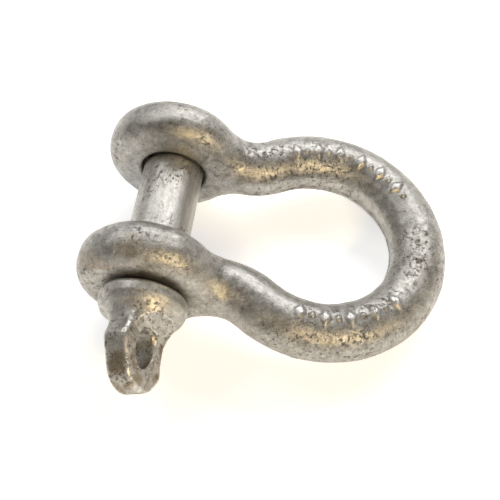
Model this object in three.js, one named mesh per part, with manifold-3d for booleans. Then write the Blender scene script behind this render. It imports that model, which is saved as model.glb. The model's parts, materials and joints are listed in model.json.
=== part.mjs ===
// A forged screw-pin bow shackle, nominal 3/4 inch (19 mm), lying on its side.
//
// The shackle is drawn in its own frame: the pin's axis is the Y axis, the bow lies in the
// XY plane with its crown toward +X, and the pin's head is at the -Y end. The whole is then
// laid down: the eyes are deeper than the bar, so the crown drops until it rests too, and
// the origin goes to the middle of the bottom of the bounding box.
//
// The pin is one forging. It is drawn as three solids so that the plain shank can carry the
// slide and the head and thread can carry the turn: PIN_GAP separates them, inside the eyes.

import * as THREE from 'three';
import { mergeVertices } from 'three/addons/utils/BufferGeometryUtils.js';
import Module from 'manifold-3d';

const wasm = await Module();
wasm.setup();

// Bow, mm
const BAR_RADIUS = 9.55;
const CROWN_BAR_RADIUS = 9.7;
const BOW_RADIUS = 34.4;          // centreline radius of the crown
const BOW_CENTRE = 55.3;          // pin axis to the centre of the crown's arc
const NECK_BEND_RADIUS = 22;      // centreline radius where each limb turns into its eye
const EYE_SPACING = 50;           // between the middles of the two eyes
const EYE_RADIUS = 23.4;
const EYE_THICKNESS = 17;
const EYE_EDGE_RADIUS = 7.8;
const BORE_OFFSET = 0.6;          // bores from the middle of the eyes, toward the crown
const FLARE_START = 26;           // the limb begins to deepen this far from the pin axis
const FLARE_END = 6.3;            // and is as deep as the eye here
const FLARE_SQUARENESS = 3;       // superellipse exponent of the section inside the eye

// Pin, mm
const PIN_RADIUS = 10.4;
const PIN_BORE_RADIUS = 11;       // plain eye
const PIN_GAP = 0.3;
const THREAD_PITCH = 2.8;
const THREAD_DEPTH = 1.4;
const THREAD_CLEARANCE = 0.3;
const RIDGE_ROOT = 0.68;          // width of the pin's ridge at its foot, in pitches
const RIDGE_CREST = 0.2;          // and at its crest
const GROOVE_MOUTH = 0.92;        // width of the eye's groove at the bore, in pitches
const GROOVE_FLOOR = 0.44;        // and at its floor
const MOUTH_RADIUS = 11.2;        // counterbore at the start of the threaded eye
const MOUTH_DEPTH = 2.4;
const PIN_END_STANDOUT = 1.5;     // thread end beyond the threaded eye
const END_CHAMFER = 1.4;
const CUT_MARGIN = 1;             // cutting tools reach this far past the faces they cut

// Pin head, mm; "out" is measured along the axis from the eye's outer face
const COLLAR_GAP = 0.9;
const COLLAR_RADIUS = 14.6;
const COLLAR_RIM_RADIUS = 1.9;
const STUB_LENGTH = 4;            // part of the head's solid that reaches into the bore
const CONE_WAIST = [              // [radius, out] from the collar's rim down to the neck
  [14.3, 5],
  [13.3, 7.1],
  [11.9, 8.8],
  [11, 10.5],
  [10.6, 12.4],
];
const NECK_RADIUS = 10.5;
const NECK_OUT = 14.5;
const NECK_DOME = 2;              // height of the neck's domed end inside the tab
const TAB_HALF_THICKNESS = 4.25;
const TAB_OFFSET = 0.45;          // middle of the tab from the pin's axis, toward its upper face
const TAB_EDGE_RADIUS = 1.4;
const SCOOP_RADIUS = 7.5;         // hollow that runs from the tab's upper face onto the cone
const UNDER_SCOOP_RADIUS = 10.5;  // and from its lower face
const SCOOP_OUT = 17;
const TAB_HALF_WIDTH = 11.8;
const TAB_TIP_OUT = 32.2;
const TAB_ANGLE = 33;             // degrees from the bow's plane to the tab's face normal
const HOLE_OUT = 19;
const HOLE_HALF_WIDTH = 4.9;
const HOLE_HALF_LENGTH = 6.2;

// Facets
const BOW_SECTIONS = 50;
const BAR_SIDES = 20;
const LATHE_SIDES = 36;
const ARC_STEPS = 4;
const THREAD_STEPS = 16;          // per turn

const EYE_CENTRE = EYE_SPACING / 2;
const EYE_INNER = EYE_CENTRE - EYE_THICKNESS / 2;
const EYE_OUTER = EYE_CENTRE + EYE_THICKNESS / 2;
const THREAD_CORE = PIN_RADIUS - THREAD_DEPTH;

const steelColour = { bow: 0xa6a29a, shank: 0xb4b1aa, head: 0xa9a59d, thread: 0x9c9992 };

function zincMaterial(colour, roughness) {
  return new THREE.MeshStandardMaterial({ color: colour, roughness, metalness: 0.85 });
}

// ---- solids and booleans ----

function solidFrom(geometry) {
  const bare = geometry.clone();
  bare.deleteAttribute('normal');
  bare.deleteAttribute('uv');
  const merged = mergeVertices(bare, 1e-4);
  const index = merged.getIndex().array;
  const kept = [];
  for (let i = 0; i < index.length; i += 3) {
    const [a, b, c] = [index[i], index[i + 1], index[i + 2]];
    if (a !== b && b !== c && c !== a) kept.push(a, b, c);
  }
  return new wasm.Manifold(new wasm.Mesh({
    numProp: 3,
    vertProperties: Float32Array.from(merged.getAttribute('position').array),
    triVerts: Uint32Array.from(kept),
  }));
}

function geometryFrom(solid) {
  const mesh = solid.getMesh();
  const geometry = new THREE.BufferGeometry();
  geometry.setAttribute('position', new THREE.BufferAttribute(mesh.vertProperties, 3));
  geometry.setIndex(new THREE.BufferAttribute(mesh.triVerts, 1));
  geometry.computeVertexNormals();
  return geometry;
}

// A closed skin through a row of sections that all have the same number of points.
function loft(sections) {
  const sides = sections[0].length;
  const positions = sections.flat().flatMap((p) => [p.x, p.y, p.z]);
  const index = [];
  for (let i = 0; i < sections.length - 1; i += 1) {
    for (let j = 0; j < sides; j += 1) {
      const a = i * sides + j;
      const b = i * sides + ((j + 1) % sides);
      index.push(a, b, b + sides, a, b + sides, a + sides);
    }
  }
  const last = (sections.length - 1) * sides;
  for (let j = 1; j < sides - 1; j += 1) {
    index.push(0, j + 1, j);
    index.push(last, last + j, last + j + 1);
  }
  const geometry = new THREE.BufferGeometry();
  geometry.setAttribute('position', new THREE.Float32BufferAttribute(positions, 3));
  geometry.setIndex(index);
  return geometry;
}

// A body turned about the Y axis from [radius, y] pairs that start and end on the axis.
function turned(profile) {
  const points = profile.map(([radius, y]) => new THREE.Vector2(radius, y));
  return solidFrom(new THREE.LatheGeometry(points, LATHE_SIDES));
}

function cylinder(radius, from, to) {
  return turned([[0, from], [radius, from], [radius, to], [0, to]]);
}

// Points on an arc about (cx, cy), from one angle to another in degrees.
function arc(cx, cy, radius, from, to) {
  const points = [];
  for (let i = 0; i <= ARC_STEPS; i += 1) {
    const angle = THREE.MathUtils.degToRad(from + ((to - from) * i) / ARC_STEPS);
    points.push([cx + radius * Math.cos(angle), cy + radius * Math.sin(angle)]);
  }
  return points;
}

// ---- the bow ----

// Centreline from the near eye round the crown to the far eye: line, arc, crown, arc, line.
function bowCentreline() {
  const reach = BOW_RADIUS + NECK_BEND_RADIUS;
  const side = EYE_CENTRE + NECK_BEND_RADIUS;
  const bendX = BOW_CENTRE - Math.sqrt(reach ** 2 - side ** 2);
  const turn = Math.atan2(side, bendX - BOW_CENTRE);
  const path = new THREE.Path();
  path.moveTo(0, -EYE_CENTRE);
  path.lineTo(bendX, -EYE_CENTRE);
  path.absarc(bendX, -side, NECK_BEND_RADIUS, Math.PI / 2, Math.PI - turn, true);
  path.absarc(BOW_CENTRE, 0, BOW_RADIUS, -turn, turn, false);
  path.absarc(bendX, side, NECK_BEND_RADIUS, turn - Math.PI, -Math.PI / 2, true);
  path.lineTo(0, EYE_CENTRE);
  return path;
}

// One section of the bar: round along the bow, deeper and squarer as it enters the eye.
function barSection(centre, tangent) {
  const flare = 1 - THREE.MathUtils.smoothstep(centre.x, FLARE_END, FLARE_START);
  const crown = THREE.MathUtils.smoothstep(centre.x, BOW_CENTRE, BOW_CENTRE + BOW_RADIUS);
  const radius = THREE.MathUtils.lerp(BAR_RADIUS, CROWN_BAR_RADIUS, crown);
  const depthAtEye = Math.sqrt(EYE_RADIUS ** 2 - FLARE_END ** 2);
  const halfDepth = THREE.MathUtils.lerp(radius, depthAtEye, flare);
  const halfWidth = THREE.MathUtils.lerp(radius, EYE_THICKNESS / 2 - PIN_GAP, flare);
  const power = 2 / THREE.MathUtils.lerp(2, FLARE_SQUARENESS, flare);
  const across = new THREE.Vector3(-tangent.y, tangent.x, 0);
  const section = [];
  for (let j = 0; j < BAR_SIDES; j += 1) {
    const angle = (2 * Math.PI * j) / BAR_SIDES;
    const c = Math.cos(angle);
    const s = Math.sin(angle);
    const point = across.clone().multiplyScalar(halfWidth * Math.sign(c) * Math.abs(c) ** power);
    point.x += centre.x;
    point.y += centre.y;
    point.z = halfDepth * Math.sign(s) * Math.abs(s) ** power;
    section.push(point);
  }
  return section;
}

function bowBar() {
  const path = bowCentreline();
  const sections = [];
  for (let i = 0; i <= BOW_SECTIONS; i += 1) {
    const t = i / BOW_SECTIONS;
    sections.push(barSection(path.getPoint(t), path.getTangent(t)));
  }
  return solidFrom(loft(sections));
}

function eye(middle) {
  const inner = EYE_THICKNESS / 2 - EYE_EDGE_RADIUS;
  const flat = EYE_RADIUS - EYE_EDGE_RADIUS;
  return turned([
    [0, middle - EYE_THICKNESS / 2],
    ...arc(flat, middle - inner, EYE_EDGE_RADIUS, -90, 0),
    ...arc(flat, middle + inner, EYE_EDGE_RADIUS, 0, 90),
    [0, middle + EYE_THICKNESS / 2],
  ]);
}

// A right-hand ridge wound on the Y axis, so many pitches wide at its foot and its crest;
// the crest sinks back into the core at each end.
function threadRidge(coreRadius, crestRadius, footWidth, crestWidth, from, to) {
  const halfFoot = (THREAD_PITCH * footWidth) / 2;
  const halfCrest = (THREAD_PITCH * crestWidth) / 2;
  const turns = (to - from) / THREAD_PITCH;
  const steps = Math.round(turns * THREAD_STEPS);
  const rootRadius = coreRadius - THREAD_CLEARANCE;
  const sections = [];
  for (let i = 0; i <= steps; i += 1) {
    const y = from + ((to - from) * i) / steps;
    const angle = (2 * Math.PI * y) / THREAD_PITCH;
    const runout = Math.min(i, steps - i, THREAD_STEPS / 2) / (THREAD_STEPS / 2);
    const crest = THREE.MathUtils.lerp(coreRadius - THREAD_CLEARANCE / 2, crestRadius, runout);
    const corners = [
      [rootRadius, halfFoot],
      [crest, halfCrest],
      [crest, -halfCrest],
      [rootRadius, -halfFoot],
    ];
    sections.push(corners.map(([radius, dy]) => (
      new THREE.Vector3(radius * Math.sin(angle), y + dy, radius * Math.cos(angle))
    )));
  }
  return solidFrom(loft(sections));
}

function bow() {
  const margin = 2 * THREAD_PITCH;
  const bore = cylinder(PIN_BORE_RADIUS, -EYE_OUTER - CUT_MARGIN, -EYE_INNER + CUT_MARGIN);
  const mouth = cylinder(MOUTH_RADIUS, EYE_INNER - CUT_MARGIN, EYE_INNER + MOUTH_DEPTH);
  const minor = cylinder(THREAD_CORE + THREAD_CLEARANCE, EYE_INNER, EYE_OUTER + CUT_MARGIN);
  const groove = threadRidge(
    THREAD_CORE + THREAD_CLEARANCE,
    PIN_RADIUS + THREAD_CLEARANCE,
    GROOVE_MOUTH,
    GROOVE_FLOOR,
    EYE_INNER - margin,
    EYE_OUTER + margin,
  );
  return bowBar().add(eye(EYE_CENTRE)).add(eye(-EYE_CENTRE)).translate([-BORE_OFFSET, 0, 0])
    .subtract(bore).subtract(mouth).subtract(minor).subtract(groove);
}

// ---- the pin ----

const SHANK_START = -EYE_OUTER + STUB_LENGTH + PIN_GAP;
const SHANK_END = EYE_INNER + MOUTH_DEPTH / 2;

function pinShank() {
  return cylinder(PIN_RADIUS, SHANK_START, SHANK_END);
}

function pinThread() {
  const start = SHANK_END + PIN_GAP;
  const end = EYE_OUTER + PIN_END_STANDOUT;
  const core = turned([
    [0, start],
    [THREAD_CORE, start],
    [THREAD_CORE, end - END_CHAMFER],
    [THREAD_CORE - END_CHAMFER, end],
    [0, end],
  ]);
  const inset = THREAD_PITCH * 0.4;
  const ridge = threadRidge(
    THREAD_CORE,
    PIN_RADIUS,
    RIDGE_ROOT,
    RIDGE_CREST,
    start + inset,
    end - END_CHAMFER - inset,
  );
  return core.add(ridge);
}

// The head is drawn standing on +Y from the eye's face and then turned over to point at -Y.
function collarAndCone() {
  const rimMiddle = COLLAR_GAP + COLLAR_RIM_RADIUS;
  return turned([
    [0, -STUB_LENGTH],
    [PIN_RADIUS, -STUB_LENGTH],
    [PIN_RADIUS, COLLAR_GAP],
    ...arc(COLLAR_RADIUS - COLLAR_RIM_RADIUS, rimMiddle, COLLAR_RIM_RADIUS, -90, 20),
    ...CONE_WAIST,
    [NECK_RADIUS, NECK_OUT],
    [0, NECK_OUT + NECK_DOME],
  ]);
}

// Space beside the tab, on its upper (side 1) or lower (side -1) face: flat along the tab,
// then a hollow of the given radius up onto the cone.
function scoop(side, radius) {
  const face = TAB_HALF_THICKNESS + side * TAB_OFFSET;
  const far = COLLAR_RADIUS * 2;
  const width = COLLAR_RADIUS * 4;
  const shape = new THREE.Shape();
  shape.moveTo(face, TAB_TIP_OUT + CUT_MARGIN);
  shape.lineTo(face, SCOOP_OUT);
  shape.absarc(face + radius, SCOOP_OUT, radius, Math.PI, 1.5 * Math.PI, false);
  shape.lineTo(far, SCOOP_OUT - radius);
  shape.lineTo(far, TAB_TIP_OUT + CUT_MARGIN);
  const geometry = new THREE.ExtrudeGeometry(shape, {
    depth: width,
    bevelEnabled: false,
    curveSegments: 8,
  });
  geometry.translate(0, 0, -width / 2);
  if (side < 0) geometry.rotateY(Math.PI);
  return solidFrom(geometry);
}

// The tab's outline: u across, v out along the pin; its far corner on the -u side is fuller.
function tabOutline() {
  const w = TAB_HALF_WIDTH;
  const inset = TAB_EDGE_RADIUS;
  const shape = new THREE.Shape();
  shape.moveTo(NECK_RADIUS - inset, NECK_OUT - 4);
  shape.splineThru([
    new THREE.Vector2(NECK_RADIUS - 0.1 - inset, NECK_OUT - 1.3),
    new THREE.Vector2(w - 0.6 - inset, NECK_OUT + 1.8),
    new THREE.Vector2(w - 0.2 - inset, HOLE_OUT + 0.5),
    new THREE.Vector2(w - 3 - inset, TAB_TIP_OUT - 7.8),
    new THREE.Vector2(5.8 - inset / 2, TAB_TIP_OUT - 3 - inset / 2),
    new THREE.Vector2(2, TAB_TIP_OUT - 0.6 - inset),
    new THREE.Vector2(-2.8, TAB_TIP_OUT - inset),
    new THREE.Vector2(inset / 2 - 7, TAB_TIP_OUT - 2 - inset / 2),
    new THREE.Vector2(inset + 0.4 - w, TAB_TIP_OUT - 7.8),
    new THREE.Vector2(inset + 0.8 - w, HOLE_OUT + 2.5),
    new THREE.Vector2(inset - NECK_RADIUS, NECK_OUT + 2),
    new THREE.Vector2(inset - NECK_RADIUS, NECK_OUT - 4),
  ]);
  shape.closePath();
  return shape;
}

function tabPlate() {
  const bevel = TAB_EDGE_RADIUS;
  const depth = 2 * (TAB_HALF_THICKNESS - bevel);
  const geometry = new THREE.ExtrudeGeometry(tabOutline(), {
    depth,
    curveSegments: 3,
    bevelEnabled: true,
    bevelThickness: bevel,
    bevelSize: bevel,
    bevelSegments: 3,
  });
  geometry.translate(0, 0, TAB_OFFSET - depth / 2);
  geometry.rotateY(Math.PI / 2);
  return solidFrom(geometry);
}

function tabHole() {
  const shape = new THREE.Shape();
  shape.absellipse(0, HOLE_OUT, HOLE_HALF_WIDTH, HOLE_HALF_LENGTH, 0, 2 * Math.PI, false, 0);
  const depth = TAB_HALF_THICKNESS * 4;
  const geometry = new THREE.ExtrudeGeometry(shape, {
    depth,
    bevelEnabled: false,
    curveSegments: 12,
  });
  geometry.translate(0, 0, -depth / 2);
  geometry.rotateY(Math.PI / 2);
  return solidFrom(geometry);
}

function pinHead() {
  return collarAndCone()
    .subtract(scoop(1, SCOOP_RADIUS))
    .subtract(scoop(-1, UNDER_SCOOP_RADIUS))
    .add(tabPlate())
    .subtract(tabHole())
    .rotate([180, 0, 0])
    .translate([0, -EYE_OUTER, 0])
    .rotate([0, -TAB_ANGLE, 0]);
}

// ---- the assembly ----

function part(name, solid, colour, roughness) {
  const mesh = new THREE.Mesh(geometryFrom(solid), zincMaterial(colour, roughness));
  mesh.name = name;
  return mesh;
}

const shackle = new THREE.Group();
shackle.add(part('bow', bow(), steelColour.bow, 0.5));
shackle.add(part('pin_shank', pinShank(), steelColour.shank, 0.42));
shackle.add(part('pin_head', pinHead(), steelColour.head, 0.5));
shackle.add(part('pin_thread', pinThread(), steelColour.thread, 0.45));
shackle.rotation.y = Math.asin((EYE_RADIUS - CROWN_BAR_RADIUS) / (BOW_CENTRE + BOW_RADIUS));

const model = new THREE.Group();
model.add(shackle);
model.updateMatrixWorld(true);
const box = new THREE.Box3().setFromObject(model, true);
const middle = box.getCenter(new THREE.Vector3());
shackle.position.set(-middle.x, -middle.y, -box.min.z);

export default model;
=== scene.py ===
"""A forged, hot-dip galvanised screw-pin bow shackle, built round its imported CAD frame.

Both forgings are worked out in the shackle's own frame, in millimetres: the pin's axis is the Y axis,
the bow lies in the XY plane with its crown toward +X, and the pin's head is at the -Y end. Each is made
of plain shells, joined, remeshed, relaxed so its edges round over as a zinc coat rounds them, and
roughened, and only then laid down in the row's frame, in metres.
"""

import json
import math

import bpy
import numpy as np
from mathutils import Matrix, Vector, noise


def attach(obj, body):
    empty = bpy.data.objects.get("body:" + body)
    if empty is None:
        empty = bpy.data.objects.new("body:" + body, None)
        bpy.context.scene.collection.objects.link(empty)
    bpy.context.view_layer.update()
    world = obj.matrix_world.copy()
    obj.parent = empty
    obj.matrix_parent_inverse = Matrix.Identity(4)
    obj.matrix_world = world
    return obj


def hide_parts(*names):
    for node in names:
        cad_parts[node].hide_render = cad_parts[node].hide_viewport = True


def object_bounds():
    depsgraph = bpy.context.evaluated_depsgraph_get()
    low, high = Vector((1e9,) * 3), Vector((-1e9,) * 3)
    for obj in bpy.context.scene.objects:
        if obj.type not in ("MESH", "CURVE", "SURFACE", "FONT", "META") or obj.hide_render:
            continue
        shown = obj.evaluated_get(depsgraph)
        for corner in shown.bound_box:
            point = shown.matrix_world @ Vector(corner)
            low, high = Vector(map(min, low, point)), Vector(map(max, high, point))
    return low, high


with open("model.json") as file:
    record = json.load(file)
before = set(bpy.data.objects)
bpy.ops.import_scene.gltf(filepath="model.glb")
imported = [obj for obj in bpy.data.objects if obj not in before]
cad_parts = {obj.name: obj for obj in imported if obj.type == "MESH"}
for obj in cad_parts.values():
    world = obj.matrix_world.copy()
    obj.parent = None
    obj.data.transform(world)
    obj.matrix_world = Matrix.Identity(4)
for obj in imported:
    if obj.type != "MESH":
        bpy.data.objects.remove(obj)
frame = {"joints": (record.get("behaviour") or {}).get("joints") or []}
cad_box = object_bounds()

# ---- driving dimensions, mm ----

BAR_RADIUS = 9.55
CROWN_BAR_RADIUS = 9.7
BOW_RADIUS = 34.4
BOW_CENTRE = 55.3
NECK_BEND_RADIUS = 22.0
EYE_SPACING = 50.0
EYE_RADIUS = 23.4
EYE_THICKNESS = 17.0
EYE_EDGE_RADIUS = 7.8
BORE_OFFSET = 0.6
FLARE_START = 26.0
FLARE_END = 6.3
FLARE_SQUARENESS = 3.0
FLARE_INSET = 0.3

PIN_RADIUS = 10.4
PIN_BORE_RADIUS = 11.0
THREAD_PITCH = 2.8
THREAD_DEPTH = 1.4
THREAD_CLEARANCE = 0.3
RIDGE_HALF_ROOT = 0.34 * THREAD_PITCH
RIDGE_HALF_CREST = 0.1 * THREAD_PITCH
GROOVE_HALF_MOUTH = 0.46 * THREAD_PITCH
GROOVE_HALF_FLOOR = 0.22 * THREAD_PITCH
MOUTH_RADIUS = 11.2
MOUTH_DEPTH = 2.4
MOUTH_FLARE = 1.3
PIN_END_STANDOUT = 1.5
END_CHAMFER = 1.4
SHANK_SHOULDER = 0.6
CUT_MARGIN = 1.0
RIDGE_SINK = 0.3
RIDGE_GAP = 0.3
RIDGE_LEAD = 0.4 * THREAD_PITCH

COLLAR_GAP = 0.9
COLLAR_RADIUS = 14.6
COLLAR_RIM_RADIUS = 1.9
CONE_WAIST = [(14.3, 5), (13.3, 7.1), (11.9, 8.8), (11, 10.5), (10.6, 12.4)]
NECK_RADIUS = 10.5
NECK_OUT = 14.5
NECK_DOME = 2.0
TAB_HALF_THICKNESS = 4.25
TAB_OFFSET = 0.45
TAB_EDGE_RADIUS = 1.4
SCOOP_RADIUS = 7.5
UNDER_SCOOP_RADIUS = 10.5
SCOOP_OUT = 17.0
TAB_HALF_WIDTH = 11.8
TAB_TIP_OUT = 32.2
TAB_ANGLE = 33.0
HOLE_OUT = 19.0
HOLE_HALF_WIDTH = 4.9
HOLE_HALF_LENGTH = 6.2
HOLE_BREAK = 0.5

FLASH_HALF_WIDTH = 2.7
FLASH_DEPTH = 0.5
FLASH_EDGE = 0.25
MARK_HEIGHT = 0.85
# each row of marks: first and last place round the crown, place round the bar (degrees), how many
MARK_ROWS = [(-100, -43, 94, 9), (114, 38, 101, 12)]
PIP_RADIUS = 0.85
LOZENGE_HALF_LENGTH = 1.9
LOZENGE_HALF_WIDTH = 2.9

BOW_VOXEL = 0.56
PIN_VOXEL = 0.35
RELAX_STEP = 0.5
RELAX_GIVE_BACK = 0.52

EYE_CENTRE = EYE_SPACING / 2
EYE_INNER = EYE_CENTRE - EYE_THICKNESS / 2
EYE_OUTER = EYE_CENTRE + EYE_THICKNESS / 2
THREAD_CORE = PIN_RADIUS - THREAD_DEPTH
SHANK_END = EYE_INNER + MOUTH_DEPTH / 2
PIN_END = EYE_OUTER + PIN_END_STANDOUT
REST_TILT = math.asin((EYE_RADIUS - CROWN_BAR_RADIUS) / (BOW_CENTRE + BOW_RADIUS))

pin_turn = next(joint for joint in frame["joints"] if joint["name"] == "pin_turn")
TO_ROW = (
    Matrix.Translation(pin_turn["pos_m"])
    @ Matrix.Rotation(REST_TILT, 4, "Y")
    @ Matrix.Scale(0.001, 4)
)

# ---- colours, lights and camera; lengths in m, angles in degrees ----

BOW_LIGHT = (0.60, 0.588, 0.558, 1)
BOW_MID = (0.33, 0.319, 0.294, 1)
BOW_DARK = (0.13, 0.121, 0.103, 1)
PIN_LIGHT = (0.66, 0.648, 0.615, 1)
PIN_MID = (0.42, 0.407, 0.375, 1)
PIN_DARK = (0.19, 0.178, 0.153, 1)
TARNISH_COLOUR = (0.27, 0.215, 0.145, 1)
WORN_COLOUR = (0.72, 0.71, 0.68, 1)
# dark colour for real pits and dirt, and for painted shade in creases, bores, hollows and the collar's gap
DIRT_AND_SHADE_COLOUR = (0.085, 0.072, 0.052, 1)
SPECK_DARKNESS = 0.85
METALLIC = 0.88

FLOOR_HALF_SIZE = 3.0
LIGHT_DISTANCE = 0.8
CAMERA_TARGET = (31.0, -8.46, 0)
CAMERA_AZIMUTH = 7.66
CAMERA_ELEVATION = 57.7
CAMERA_DISTANCE = 0.2868
CAMERA_LENS = 60.97


# ---- small helpers ----

def smoothstep(value, low, high):
    """0 below low, 1 above high, and a smooth rise between."""
    t = np.clip((value - low) / (high - low), 0, 1)
    return t * t * (3 - 2 * t)


def lerp(start, end, t):
    return start + (end - start) * t


def arc(cx, cy, radius, start, end, steps=10):
    """Points on an arc about (cx, cy), from one angle to another in degrees."""
    angle = np.radians(np.linspace(start, end, steps + 1))
    return np.stack([cx + radius * np.cos(angle), cy + radius * np.sin(angle)], 1)


def object_from(name, points, faces):
    mesh = bpy.data.meshes.new(name)
    mesh.from_pydata([tuple(p) for p in points], [], faces)
    mesh.update()
    obj = bpy.data.objects.new(name, mesh)
    bpy.context.scene.collection.objects.link(obj)
    return obj


def loft(name, sections):
    """A closed skin through rings of points, counter-clockwise seen from the far end."""
    rings, sides = sections.shape[:2]
    faces = []
    for i in range(rings - 1):
        for j in range(sides):
            k = (j + 1) % sides
            faces.append((i * sides + j, i * sides + k, (i + 1) * sides + k, (i + 1) * sides + j))
    faces.append(tuple(range(sides - 1, -1, -1)))
    faces.append(tuple(range((rings - 1) * sides, rings * sides)))
    return object_from(name, sections.reshape(-1, 3), faces)


def turned(name, profile, sides=120):
    """A body turned about the Y axis from (radius, y) pairs; flat ends close it."""
    profile = np.asarray(profile, float)
    angle = np.linspace(0, 2 * np.pi, sides, endpoint=False)
    rings = np.zeros((len(profile), sides, 3))
    rings[:, :, 0] = profile[:, :1] * np.sin(angle)
    rings[:, :, 1] = profile[:, 1:]
    rings[:, :, 2] = profile[:, :1] * np.cos(angle)
    return loft(name, rings)


def cylinder(radius, start, end):
    return turned("cylinder", [(radius, start), (radius, end)])


def apply_modifiers(obj):
    depsgraph = bpy.context.evaluated_depsgraph_get()
    mesh = bpy.data.meshes.new_from_object(obj.evaluated_get(depsgraph))
    old = obj.data
    obj.modifiers.clear()
    obj.data = mesh
    bpy.data.meshes.remove(old)


def combine(obj, others, operation):
    """Joins or cuts obj with each of the others in turn, and removes them."""
    for other in others:
        boolean = obj.modifiers.new("boolean", "BOOLEAN")
        boolean.operation = operation
        boolean.solver = "MANIFOLD"
        boolean.object = other
        apply_modifiers(obj)
        mesh = other.data
        bpy.data.objects.remove(other)
        bpy.data.meshes.remove(mesh)


def remesh(obj, voxel):
    """Replaces the mesh by one even skin at that voxel size."""
    modifier = obj.modifiers.new("remesh", "REMESH")
    modifier.mode = "VOXEL"
    modifier.voxel_size = voxel
    modifier.use_smooth_shade = True
    apply_modifiers(obj)


def coordinates(obj):
    co = np.empty(len(obj.data.vertices) * 3)
    obj.data.vertices.foreach_get("co", co)
    return co.reshape(-1, 3)


def normals(obj):
    normal = np.empty(len(obj.data.vertices) * 3)
    obj.data.vertex_normals.foreach_get("vector", normal)
    return normal.reshape(-1, 3)


def set_coordinates(obj, co):
    obj.data.vertices.foreach_set("co", co.reshape(-1))
    obj.data.update()


def relax(obj, weight, rounds, give_back=0.0):
    """Moves each vertex toward its neighbours' mean, by weight; give_back undoes the shrinking."""
    edges = np.empty(len(obj.data.edges) * 2, int)
    obj.data.edges.foreach_get("vertices", edges)
    start, end = edges.reshape(-1, 2).T
    co = coordinates(obj)
    count = len(co)
    degree = np.bincount(start, minlength=count) + np.bincount(end, minlength=count)
    for step in range(rounds):
        amount = -give_back if give_back and step % 2 else RELAX_STEP
        mean = np.stack([
            np.bincount(start, co[end, k], count) + np.bincount(end, co[start, k], count)
            for k in range(3)
        ], 1) / degree[:, None]
        co = co + amount * weight[:, None] * (mean - co)
    set_coordinates(obj, co)


def edges_and_hollows(obj, reach, sharp):
    """How much each vertex stands on a convex edge, and lies in a hollow, both 0 to 1."""
    before = coordinates(obj)
    normal = normals(obj)
    relax(obj, np.ones(len(before)), reach)
    bulge = ((before - coordinates(obj)) * normal).sum(1)
    set_coordinates(obj, before)
    return smoothstep(bulge, sharp * 0.35, sharp), smoothstep(-bulge, sharp * 0.25, sharp)


def noise_field(co, wavelength, seed, octaves=2):
    """Smooth noise in about -1..1, with features of that size in mm."""
    offset = Vector((seed * 17.3, seed * 5.1, seed * 9.7))
    scaled = co / wavelength
    return np.array([noise.fractal(Vector(p) + offset, 1.0, 2.0, octaves) for p in scaled])


def push(obj, height):
    """Moves each vertex out along its normal by its own height."""
    set_coordinates(obj, coordinates(obj) + normals(obj) * height[:, None])


def point_attribute(obj, name, values):
    layer = obj.data.attributes.new(name, "FLOAT", "POINT")
    layer.data.foreach_set("value", np.asarray(values, np.float32))


def lay_down(obj):
    """Into the row's frame, in metres, no part of it outside the CAD model's box."""
    obj.data.transform(TO_ROW)
    co = coordinates(obj)
    set_coordinates(obj, np.clip(co, np.array(cad_box[0]), np.array(cad_box[1])))


def thread_ridge(core, crest, half_root, half_crest, start, end, steps_per_turn=36):
    """A right-hand ridge wound on the Y axis; its crest sinks into the core at each end."""
    steps = round((end - start) / THREAD_PITCH * steps_per_turn)
    y = np.linspace(start, end, steps + 1)
    angle = 2 * np.pi * y / THREAD_PITCH
    index = np.arange(steps + 1)
    runout = np.minimum(np.minimum(index, steps - index) / (steps_per_turn / 2), 1)
    top = lerp(core - RIDGE_SINK / 2, crest, runout)
    root = np.full_like(top, core - RIDGE_SINK)
    rings = np.zeros((steps + 1, 4, 3))
    for k, (radius, dy) in enumerate(
        [(root, half_root), (top, half_crest), (top, -half_crest), (root, -half_root)]
    ):
        rings[:, k, 0] = radius * np.sin(angle)
        rings[:, k, 1] = y + dy
        rings[:, k, 2] = radius * np.cos(angle)
    return loft("thread_ridge", rings)


# ---- the bow ----

def bow_centreline():
    """Points from the near eye round the crown to the far eye: line, arc, crown, arc, line."""
    side = EYE_CENTRE + NECK_BEND_RADIUS
    bend_x = BOW_CENTRE - math.sqrt((BOW_RADIUS + NECK_BEND_RADIUS) ** 2 - side ** 2)
    turn = math.degrees(math.atan2(side, bend_x - BOW_CENTRE))
    far = np.concatenate([
        arc(BOW_CENTRE, 0, BOW_RADIUS, 0, turn, 90),
        arc(bend_x, side, NECK_BEND_RADIUS, turn - 180, -90, 30)[1:],
        np.stack([np.linspace(bend_x, 0, 40)[1:], np.full(39, EYE_CENTRE)], 1),
    ])
    near = far[:0:-1] * np.array([1, -1])
    return np.concatenate([near, far])


def bar_shell(sides=72):
    """The round bar along the centreline; it grows deep and squarish to run into each eye."""
    path = bow_centreline()
    tangent = np.gradient(path, axis=0)
    tangent /= np.linalg.norm(tangent, axis=1)[:, None]
    x = path[:, 0]
    flare = 1 - smoothstep(x, FLARE_END, FLARE_START)
    radius = lerp(BAR_RADIUS, CROWN_BAR_RADIUS, smoothstep(x, BOW_CENTRE, BOW_CENTRE + BOW_RADIUS))
    depth = lerp(radius, math.sqrt(EYE_RADIUS ** 2 - FLARE_END ** 2), flare)
    width = lerp(radius, EYE_THICKNESS / 2 - FLARE_INSET, flare)
    power = 2 / lerp(2, FLARE_SQUARENESS, flare)
    angle = np.linspace(0, 2 * np.pi, sides, endpoint=False)[None, :]
    c = np.cos(angle)
    s = np.sin(angle)
    across = width[:, None] * np.sign(c) * np.abs(c) ** power[:, None]
    rings = np.zeros((len(path), sides, 3))
    rings[:, :, 0] = path[:, :1] - tangent[:, 1:] * across
    rings[:, :, 1] = path[:, 1:] + tangent[:, :1] * across
    rings[:, :, 2] = depth[:, None] * np.sign(s) * np.abs(s) ** power[:, None]
    return loft("bow_forging", rings)


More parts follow.
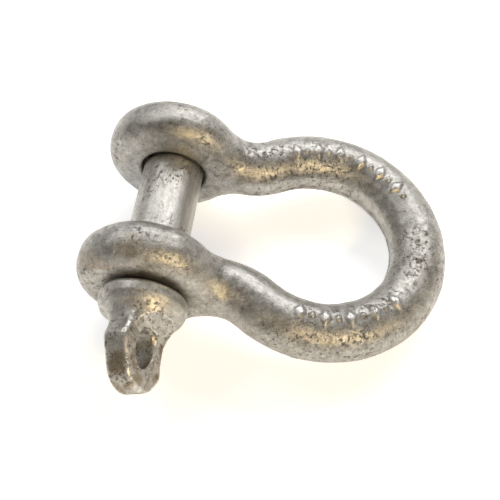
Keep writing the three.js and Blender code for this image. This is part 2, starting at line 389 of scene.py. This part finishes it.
def eye_shell(middle):
    """A solid disc with rounded rims; its bore is cut once it is joined to the bar."""
    inner = EYE_THICKNESS / 2 - EYE_EDGE_RADIUS
    flat = EYE_RADIUS - EYE_EDGE_RADIUS
    return turned("eye", np.concatenate([
        arc(flat, middle - inner, EYE_EDGE_RADIUS, -90, 0),
        arc(flat, middle + inner, EYE_EDGE_RADIUS, 0, 90),
    ]))


def move(obj, dx):
    obj.data.transform(Matrix.Translation((dx, 0, 0)))


def bow_polar(co):
    """For points on the bow: angle round the crown, angle round the bar's section, in degrees."""
    x = co[:, 0] + BORE_OFFSET - BOW_CENTRE
    outward = np.hypot(x, co[:, 1]) - BOW_RADIUS
    return np.degrees(np.arctan2(co[:, 1], x)), np.degrees(np.arctan2(co[:, 2], outward))


def raised_marks(co):
    """0 to 1: two rows of plain raised lozenges and pips along the tops of the limbs."""
    crown_angle, section_angle = bow_polar(co)
    along = np.radians(crown_angle) * BOW_RADIUS
    height = np.zeros(len(co))
    top = co[:, 2] > 0
    for first, last, row_angle, count in MARK_ROWS:
        across = np.radians(section_angle - row_angle) * BAR_RADIUS
        for k, centre in enumerate(np.linspace(first, last, count)):
            a = along - np.radians(centre) * BOW_RADIUS
            if k % 2:
                edge = np.hypot(a, across) - PIP_RADIUS
            else:
                edge = (np.abs(a) / LOZENGE_HALF_LENGTH + np.abs(across) / LOZENGE_HALF_WIDTH - 1) * 1.5
            height = np.maximum(height, np.where(top, 1 - smoothstep(edge, -0.55, 0.5), 0))
    return height


def flash_band(co):
    """1 on the strip round the inside of the bow where the forging's flash was sheared off."""
    crown_angle, section_angle = bow_polar(co)
    along_bow = smoothstep(co[:, 0], FLARE_START - 6, FLARE_START + 2)
    wander = 0.35 * np.sin(np.radians(crown_angle) * 5) + 0.2 * np.sin(np.radians(crown_angle) * 13)
    from_middle = np.abs(co[:, 2] + wander)
    strip = 1 - smoothstep(from_middle, FLASH_HALF_WIDTH - FLASH_EDGE, FLASH_HALF_WIDTH + FLASH_EDGE)
    inside = np.abs(section_angle) > 120
    return along_bow * strip * inside


def cut_eyes(obj):
    """The near eye's plain bore; the far eye's flared mouth, threaded bore and thread groove."""
    run = 2 * THREAD_PITCH
    combine(obj, [
        cylinder(PIN_BORE_RADIUS, -EYE_OUTER - CUT_MARGIN, -EYE_INNER + CUT_MARGIN),
        turned("mouth", [
            (MOUTH_RADIUS + MOUTH_FLARE, EYE_INNER - 0.5),
            (MOUTH_RADIUS, EYE_INNER + 0.8),
            (MOUTH_RADIUS, EYE_INNER + MOUTH_DEPTH),
        ]),
        cylinder(THREAD_CORE + THREAD_CLEARANCE, EYE_INNER, EYE_OUTER + CUT_MARGIN),
        thread_ridge(
            THREAD_CORE + THREAD_CLEARANCE, PIN_RADIUS + THREAD_CLEARANCE,
            GROOVE_HALF_MOUTH, GROOVE_HALF_FLOOR, EYE_INNER - run, EYE_OUTER + run,
        ),
    ], "DIFFERENCE")


def round_bow(obj, clear_of_bore):
    """Relaxes the joined shells: least in the bores, most where the limbs run into the eyes."""
    x = coordinates(obj)[:, 0]
    neck = smoothstep(x, 8, 15) * (1 - smoothstep(x, 26, 33)) * clear_of_bore
    relax(obj, lerp(0.35, 1.0, clear_of_bore), 8, RELAX_GIVE_BACK)
    relax(obj, neck, 12)


def bow_lumps(co):
    """Heights, mm, of the zinc's waves and lumps and its patches of dross."""
    lumps = 0.16 * noise_field(co, 13, 1) + 0.06 * noise_field(co, 4.5, 2) + 0.02 * noise_field(co, 1.6, 3)
    patches = smoothstep(noise_field(co, 17, 5), -0.1, 0.35)
    dross = smoothstep(noise_field(co, 2.6, 4), 0.32, 0.6) * patches
    return lumps + 0.12 * dross


def weather_bow(obj, co, from_axis, marks, band):
    """The point attributes the zinc reads: painted shade round the marks' feet, along the flash band's
    edges and round the bores, worn tops, and tarnish.
    """
    # painted shade: darkening in the creases at the feet of the raised marks and the edges of the flash
    # band, and in and round the bores
    crease_shade = 4 * marks * (1 - marks) + 4 * band * (1 - band)
    bore_shade = 0.7 * (1 - smoothstep(from_axis, PIN_BORE_RADIUS, PIN_BORE_RADIUS + 1.6))
    in_eye = np.abs(co[:, 1]) > EYE_INNER - 1
    point_attribute(obj, "grime_and_painted_shade", np.maximum(0.5 * crease_shade, bore_shade * in_eye))
    point_attribute(obj, "worn", np.maximum(marks, 0.5 * band))
    on_eye = 1 - smoothstep(co[:, 0], -6, 16)
    near_side = smoothstep(-co[:, 1], EYE_INNER + 4, EYE_OUTER)
    crown = smoothstep(co[:, 0], BOW_CENTRE, BOW_CENTRE + BOW_RADIUS)
    stain = smoothstep(noise_field(co, 9, 6, 3), -0.15, 0.35)
    tarnish = 0.1 + 0.2 * on_eye + 0.3 * on_eye * near_side + 0.15 * crown
    point_attribute(obj, "tarnish", tarnish * stain)


def make_bow():
    obj = bar_shell()
    combine(obj, [eye_shell(EYE_CENTRE), eye_shell(-EYE_CENTRE)], "UNION")
    move(obj, -BORE_OFFSET)
    cut_eyes(obj)
    remesh(obj, BOW_VOXEL)
    co = coordinates(obj)
    from_axis = np.hypot(co[:, 0], co[:, 2])
    clear_of_bore = smoothstep(from_axis, PIN_BORE_RADIUS + 1, PIN_BORE_RADIUS + 4)
    round_bow(obj, clear_of_bore)
    co = coordinates(obj)
    marks = raised_marks(co)
    band = flash_band(co)
    push(obj, clear_of_bore * bow_lumps(co) - FLASH_DEPTH * band + MARK_HEIGHT * marks)
    weather_bow(obj, co, from_axis, marks, band)
    lay_down(obj)
    return obj


# ---- the pin ----

def spline(points, steps=8):
    """A Catmull-Rom curve from the first point through the others to the last."""
    points = np.asarray(points, float)
    padded = np.concatenate([points[:1], points, points[-1:]])
    a = padded[:-3]
    b = padded[1:-2]
    c = padded[2:-1]
    d = padded[3:]
    curve = []
    for t in np.linspace(0, 1, steps, endpoint=False):
        cubic = (3 * b - a - 3 * c + d) * t ** 3
        curve.append(0.5 * (2 * b + (c - a) * t + (2 * a - 5 * b + 4 * c - d) * t ** 2 + cubic))
    return np.concatenate([np.stack(curve, 1).reshape(-1, 2), points[-1:]])


def tab_outline():
    """The tab's edge: u across, v out along the pin; its far corner on the -u side is fuller."""
    w = TAB_HALF_WIDTH
    return spline([
        (NECK_RADIUS - 0.2, NECK_OUT - 4),
        (NECK_RADIUS - 0.1, NECK_OUT - 1.3),
        (w - 0.6, NECK_OUT + 1.8),
        (w - 0.2, HOLE_OUT + 0.5),
        (w - 3, TAB_TIP_OUT - 7.8),
        (5.8, TAB_TIP_OUT - 3),
        (2, TAB_TIP_OUT - 0.6),
        (-2.8, TAB_TIP_OUT),
        (-7.6, TAB_TIP_OUT - 2.2),
        (0.4 - w, TAB_TIP_OUT - 7.8),
        (0.8 - w, HOLE_OUT + 2.5),
        (-NECK_RADIUS, NECK_OUT + 2),
        (-NECK_RADIUS, NECK_OUT - 4),
    ])


def prism(name, outline, levels):
    """An outline in (u, v) stacked at each (n, inset) level: n along X, v along Y, u along -Z."""
    tangent = np.roll(outline, -1, 0) - np.roll(outline, 1, 0)
    tangent /= np.linalg.norm(tangent, axis=1)[:, None]
    inward = np.stack([-tangent[:, 1], tangent[:, 0]], 1)
    rings = []
    for n, inset in levels:
        u, v = (outline + inward * inset).T
        rings.append(np.stack([np.full_like(u, n), v, -u], 1))
    return loft(name, np.array(rings))


def tab_shell():
    """The tab before its hole, with its rim rounded on both faces."""
    flat = TAB_HALF_THICKNESS - TAB_EDGE_RADIUS
    rim = arc(0, 0, TAB_EDGE_RADIUS, -90, 0, 6)
    lower = [(TAB_OFFSET - flat + n, TAB_EDGE_RADIUS - inset) for inset, n in rim]
    upper = [(TAB_OFFSET + flat - n, TAB_EDGE_RADIUS - inset) for inset, n in rim[::-1]]
    return prism("tab", tab_outline(), lower + upper)


def hole_cutter():
    """The tab's oval hole, broken back a little where it meets each face."""
    angle = np.linspace(0, 2 * np.pi, 64, endpoint=False)
    outline = np.stack([HOLE_HALF_WIDTH * np.cos(angle), HOLE_OUT + HOLE_HALF_LENGTH * np.sin(angle)], 1)
    low = TAB_OFFSET - TAB_HALF_THICKNESS
    high = TAB_OFFSET + TAB_HALF_THICKNESS
    return prism("hole", outline, [
        (low - CUT_MARGIN, -2 * HOLE_BREAK),
        (low, -HOLE_BREAK),
        (low + 0.6, 0),
        (high - 0.6, 0),
        (high, -HOLE_BREAK),
        (high + CUT_MARGIN, -2 * HOLE_BREAK),
    ])


def scoop_cutter(side, radius):
    """Space beside the tab: flat along its face, then a hollow up onto the cone."""
    face = TAB_HALF_THICKNESS + side * TAB_OFFSET
    far = COLLAR_RADIUS * 2
    hollow = arc(face + radius, SCOOP_OUT, radius, 180, 270, 24)
    tip = TAB_TIP_OUT + CUT_MARGIN
    outline = np.concatenate([[(face, tip)], hollow, [(far, SCOOP_OUT - radius), (far, tip)]])
    rings = np.zeros((2, len(outline), 3))
    for k, z in enumerate((-far, far)):
        rings[k, :, :2] = outline
        rings[k, :, 2] = z
    obj = loft("scoop", rings)
    if side < 0:
        obj.data.transform(Matrix.Rotation(math.pi, 4, "Y"))
    return obj


def head_shell():
    """Collar, cone and tab, drawn standing on +Y from the eye's face, then turned to point at -Y."""
    rim_middle = COLLAR_GAP + COLLAR_RIM_RADIUS
    obj = turned("screw_pin", np.concatenate([
        [(PIN_RADIUS, -4), (PIN_RADIUS, COLLAR_GAP)],
        arc(COLLAR_RADIUS - COLLAR_RIM_RADIUS, rim_middle, COLLAR_RIM_RADIUS, -90, 20),
        CONE_WAIST,
        [(NECK_RADIUS, NECK_OUT), (0.5, NECK_OUT + NECK_DOME)],
    ]))
    combine(obj, [scoop_cutter(1, SCOOP_RADIUS), scoop_cutter(-1, UNDER_SCOOP_RADIUS)], "DIFFERENCE")
    combine(obj, [tab_shell()], "UNION")
    combine(obj, [hole_cutter()], "DIFFERENCE")
    obj.data.transform(
        Matrix.Rotation(math.radians(-TAB_ANGLE), 4, "Y")
        @ Matrix.Translation((0, -EYE_OUTER, 0))
        @ Matrix.Rotation(math.pi, 4, "X")
    )
    return obj


def shank_shells():
    """The plain shank, stepping down to the thread's core, and the thread's ridge."""
    shank = turned("shank", [
        (PIN_RADIUS, 2 - EYE_OUTER),
        (PIN_RADIUS, SHANK_END - SHANK_SHOULDER),
        (THREAD_CORE, SHANK_END + SHANK_SHOULDER),
        (THREAD_CORE, PIN_END - END_CHAMFER),
        (THREAD_CORE - END_CHAMFER, PIN_END),
    ])
    ridge = thread_ridge(
        THREAD_CORE, PIN_RADIUS, RIDGE_HALF_ROOT, RIDGE_HALF_CREST,
        SHANK_END + RIDGE_GAP + RIDGE_LEAD, PIN_END - END_CHAMFER - RIDGE_LEAD,
    )
    return [shank, ridge]


def weather_pin(obj, out, on_head, on_tab, pits, edge, hollow, stain):
    """The point attributes the zinc reads: dark dirt in the tab's pits and painted shade in the head's
    hollows and in the gap behind the collar, worn edges, tarnish, and the drawn shank.
    """
    # painted shade: darkening in the gap behind the collar and in the head's hollows; the tab's pits are
    # darkened as real dirt
    collar_gap_shade = (1 - smoothstep(out, 0.9, 1.8)) * smoothstep(out, 0.2, 0.8)
    grime_and_painted_shade = np.maximum(0.9 * on_tab * pits, 0.7 * hollow * on_head)
    on_rim = smoothstep(out, SCOOP_OUT - 7, SCOOP_OUT)
    point_attribute(obj, "grime_and_painted_shade", np.maximum(grime_and_painted_shade, collar_gap_shade))
    point_attribute(obj, "worn", edge)
    point_attribute(obj, "tarnish", (0.03 + 0.1 * on_head + 0.75 * on_rim) * (0.35 + 0.65 * stain))
    point_attribute(obj, "streaked", 1 - on_head)


def make_pin():
    obj = head_shell()
    combine(obj, shank_shells(), "UNION")
    remesh(obj, PIN_VOXEL)
    on_thread = smoothstep(coordinates(obj)[:, 1], SHANK_END - 0.5, SHANK_END + 0.5)
    relax(obj, lerp(0.8, 0.3, on_thread), 6, RELAX_GIVE_BACK)
    co = coordinates(obj)
    out = -EYE_OUTER - co[:, 1]
    on_head = smoothstep(out, 0.4, 2.5)
    on_tab = smoothstep(out, NECK_OUT - 1, NECK_OUT + 3)
    lumps = 0.09 * noise_field(co, 9, 11) + 0.03 * noise_field(co, 3, 12)
    grain = noise_field(co, 1.3, 13, 3)
    pits = smoothstep(noise_field(co, 1.1, 14), 0.25, 0.55) * smoothstep(noise_field(co, 7, 15), -0.4, 0.15)
    stain = smoothstep(noise_field(co, 5, 16, 3), -0.3, 0.4)
    edge, hollow = edges_and_hollows(obj, 14, 0.12)
    push(obj, on_head * (lumps + 0.02 * grain) - 0.25 * on_tab * pits + 0.006 * (1 - on_head) * grain)
    weather_pin(obj, out, on_head, on_tab, pits, edge, hollow, stain)
    lay_down(obj)
    return obj


# ---- materials ----

def node(tree, kind, inputs=(), **settings):
    """One shader node: settings are its properties, inputs its sockets' values or links by name."""
    made = tree.nodes.new(kind)
    for name, value in settings.items():
        setattr(made, name, value)
    for name, value in dict(inputs).items():
        if isinstance(value, bpy.types.NodeSocket):
            tree.links.new(value, made.inputs[name])
        else:
            made.inputs[name].default_value = value
    return made


def noise_texture(tree, vector, scale, detail=4, roughness=0.6):
    made = node(tree, "ShaderNodeTexNoise", {
        "Vector": vector, "Scale": scale, "Detail": detail, "Roughness": roughness,
    })
    return made.outputs["Fac"]


def ranged(tree, value, low, high, to_low=0.0, to_high=1.0):
    made = node(tree, "ShaderNodeMapRange", {
        "Value": value, "From Min": low, "From Max": high, "To Min": to_low, "To Max": to_high,
    }, clamp=True)
    return made.outputs["Result"]


def math_node(tree, operation, a, b):
    """A math node; sums and maxima are clamped to 0..1."""
    made = tree.nodes.new("ShaderNodeMath")
    made.operation = operation
    made.use_clamp = operation in ("MAXIMUM", "ADD")
    for socket, value in zip(made.inputs, (a, b)):
        if isinstance(value, bpy.types.NodeSocket):
            tree.links.new(value, socket)
        else:
            socket.default_value = value
    return made.outputs[0]


def colour_mix(tree, factor, a, b):
    made = tree.nodes.new("ShaderNodeMix")
    made.data_type = "RGBA"
    sockets = (made.inputs["Factor"], made.inputs[6], made.inputs[7])
    for socket, value in zip(sockets, (factor, a, b)):
        if isinstance(value, bpy.types.NodeSocket):
            tree.links.new(value, socket)
        else:
            socket.default_value = value
    return made.outputs[2]


def attribute(tree, name):
    return node(tree, "ShaderNodeAttribute", attribute_name=name).outputs["Fac"]


def mottled_zinc(tree, place, mottle, grain, light, mid, dark):
    """Light and dull zinc in patches, darkened by stains and grain and lit by its crystals."""
    stain = noise_texture(tree, place, 130, 8, 0.72)
    crystal = node(tree, "ShaderNodeTexVoronoi", {"Vector": place, "Scale": 900.0}).outputs["Color"]
    body = colour_mix(tree, ranged(tree, mottle, 0.40, 0.60), mid, light)
    body = colour_mix(tree, ranged(tree, stain, 0.49, 0.62, 0, 0.42), body, dark)
    body = colour_mix(tree, ranged(tree, grain, 0.42, 0.6, 0, 0.42), body, dark)
    return colour_mix(tree, ranged(tree, crystal, 0, 1, 0, 0.2), body, light)


def tarnish_over(tree, body, tarnish, mottle):
    """Brown tarnish laid over the zinc where the attribute says, broken up by the mottle."""
    stained = math_node(tree, "ADD", math_node(tree, "MULTIPLY", tarnish, 0.5), mottle)
    amount = math_node(tree, "MULTIPLY", ranged(tree, stained, 0.5, 0.85), tarnish)
    return colour_mix(tree, amount, body, TARNISH_COLOUR)


def streaks_over(tree, body, place, light, mid):
    """Fine streaks along the pin's shank, wherever the piece has the streaked attribute."""
    stretched = node(tree, "ShaderNodeMapping", {"Vector": place, "Scale": (1.0, 0.12, 1.0)})
    streaks = noise_texture(tree, stretched.outputs["Vector"], 700, 5, 0.7)
    drawn = colour_mix(tree, ranged(tree, streaks, 0.36, 0.62), light, mid)
    amount = math_node(tree, "MULTIPLY", attribute(tree, "streaked"), 0.6)
    return colour_mix(tree, amount, body, drawn)


def dark_specks(tree, place, tarnish):
    """How dark the pits are, 0 to 1: thick in some patches and on tarnish, thin elsewhere."""
    cloud = noise_texture(tree, place, 42, 2)
    blotch = noise_texture(tree, place, 640, 9, 0.82)
    patchy = math_node(tree, "MAXIMUM", ranged(tree, cloud, 0.46, 0.58, 0.12, 1), tarnish)
    return math_node(tree, "MULTIPLY", ranged(tree, blotch, 0.53, 0.59, 0, SPECK_DARKNESS), patchy)


def zinc_bump(tree, mottle, grain, specks, strength):
    """Fine relief that the mesh is too coarse for: mottle and grain stand up, specks are pits."""
    height = math_node(
        tree, "ADD", math_node(tree, "MULTIPLY", mottle, 0.5), math_node(tree, "MULTIPLY", grain, 0.3),
    )
    height = math_node(tree, "SUBTRACT", height, math_node(tree, "MULTIPLY", specks, 0.3))
    bump = node(tree, "ShaderNodeBump", {"Height": height, "Strength": strength, "Distance": 0.0007})
    return bump.outputs["Normal"]


def zinc_material(name, light, mid, dark, roughness, bump_strength):
    """Weathered hot-dip zinc: satin grey mottled light and dull, tarnish stains, dark pits, and painted
    shade in creases and hollows.
    """
    material = bpy.data.materials.new(name)
    material.use_nodes = True
    tree = material.node_tree
    tree.nodes.clear()
    place = node(tree, "ShaderNodeTexCoord").outputs["Object"]
    mottle = noise_texture(tree, place, 340, 8, 0.76)
    grain = noise_texture(tree, place, 1500, 4, 0.75)
    tarnish = attribute(tree, "tarnish")
    worn = attribute(tree, "worn")

    body = mottled_zinc(tree, place, mottle, grain, light, mid, dark)
    body = tarnish_over(tree, body, tarnish, mottle)
    body = streaks_over(tree, body, place, light, mid)
    edge_wear = math_node(tree, "MULTIPLY", worn, ranged(tree, mottle, 0.35, 0.55, 0.2, 0.75))
    body = colour_mix(tree, edge_wear, body, WORN_COLOUR)
    specks = dark_specks(tree, place, tarnish)
    # the dark mix: real dark pits, and painted shade in creases, round the bores, in hollows and behind the
    # collar
    dirt_and_shade = math_node(tree, "MAXIMUM", specks, math_node(tree, "MULTIPLY", attribute(tree, "grime_and_painted_shade"), 0.7))
    body = colour_mix(tree, dirt_and_shade, body, DIRT_AND_SHADE_COLOUR)

    rough = ranged(tree, mottle, 0.36, 0.64, roughness - 0.09, roughness + 0.09)
    rough = math_node(tree, "ADD", rough, math_node(tree, "MULTIPLY", dirt_and_shade, 0.25))
    rough = math_node(tree, "SUBTRACT", rough, math_node(tree, "MULTIPLY", worn, 0.06))

    shader = node(tree, "ShaderNodeBsdfPrincipled", {
        "Base Color": body, "Roughness": rough, "Metallic": METALLIC,
        "Normal": zinc_bump(tree, mottle, grain, specks, bump_strength),
    })
    output = node(tree, "ShaderNodeOutputMaterial")
    tree.links.new(shader.outputs["BSDF"], output.inputs["Surface"])
    return material


def finish_piece(obj, material, body, slot, *replaced):
    obj.data.materials.clear()
    obj.data.materials.append(material)
    obj.data.shade_smooth()
    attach(obj, body)
    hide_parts(*replaced)


# ---- floor, light and camera ----

def make_floor():
    size = FLOOR_HALF_SIZE
    floor = object_from(
        "floor", [(-size, -size, 0), (size, -size, 0), (size, size, 0), (-size, size, 0)], [(0, 1, 2, 3)]
    )
    material = bpy.data.materials.new("white_floor")
    material.use_nodes = True
    shader = material.node_tree.nodes["Principled BSDF"]
    shader.inputs["Base Color"].default_value = (0.95, 0.95, 0.945, 1)
    shader.inputs["Roughness"].default_value = 0.9
    shader.inputs["Specular IOR Level"].default_value = 0.1
    shader.inputs["Emission Color"].default_value = (1, 1, 1, 1)
    shader.inputs["Emission Strength"].default_value = 0.52
    floor.data.materials.append(material)


def direction(azimuth, elevation):
    """A unit vector; azimuth 0 is -Y and turns toward +X, both in degrees."""
    a = math.radians(azimuth)
    e = math.radians(elevation)
    return Vector((math.sin(a) * math.cos(e), -math.cos(a) * math.cos(e), math.sin(e)))


def area_light(name, azimuth, elevation, size, power, colour):
    """A rectangular light, width and height in size, aimed at the row's origin."""
    light = bpy.data.lights.new(name, "AREA")
    light.shape = "RECTANGLE"
    light.size, light.size_y = size
    light.energy = power
    light.color = colour
    obj = bpy.data.objects.new(name, light)
    toward = direction(azimuth, elevation)
    obj.location = toward * LIGHT_DISTANCE
    obj.rotation_euler = toward.to_track_quat("Z", "Y").to_euler()
    bpy.context.scene.collection.objects.link(obj)


def make_lights():
    world = bpy.data.worlds.new("studio")
    world.use_nodes = True
    background = world.node_tree.nodes["Background"]
    background.inputs["Color"].default_value = (1, 0.99, 0.97, 1)
    background.inputs["Strength"].default_value = 0.22
    bpy.context.scene.world = world
    area_light("back_softbox", 165, 42, (0.8, 0.28), 4.0, (1, 1, 1))
    area_light("left_softbox", -125, 50, (0.4, 0.25), 1.4, (1, 1, 1))
    area_light("warm_front", 36, 34, (0.34, 0.045), 3.3, (1, 0.77, 0.44))
    bpy.context.scene.view_settings.view_transform = "Standard"


def make_camera():
    target = TO_ROW @ Vector(CAMERA_TARGET)
    camera = bpy.data.cameras.new("camera")
    camera.lens = CAMERA_LENS
    camera.sensor_width = 36
    camera.clip_start = 0.01
    obj = bpy.data.objects.new("camera", camera)
    back = direction(CAMERA_AZIMUTH, CAMERA_ELEVATION)
    obj.location = target + back * CAMERA_DISTANCE
    obj.rotation_euler = back.to_track_quat("Z", "Y").to_euler()
    bpy.context.scene.collection.objects.link(obj)
    bpy.context.scene.camera = obj


make_camera()
make_lights()
make_floor()

finish_piece(
    make_bow(),
    zinc_material("bow_zinc", BOW_LIGHT, BOW_MID, BOW_DARK, 0.35, 0.55),
    "bow", "bow_zinc", "bow",
)
finish_piece(
    make_pin(),
    zinc_material("pin_zinc", PIN_LIGHT, PIN_MID, PIN_DARK, 0.39, 0.42),
    "pin_screw", "head_zinc", "pin_head", "pin_shank", "pin_thread",
)
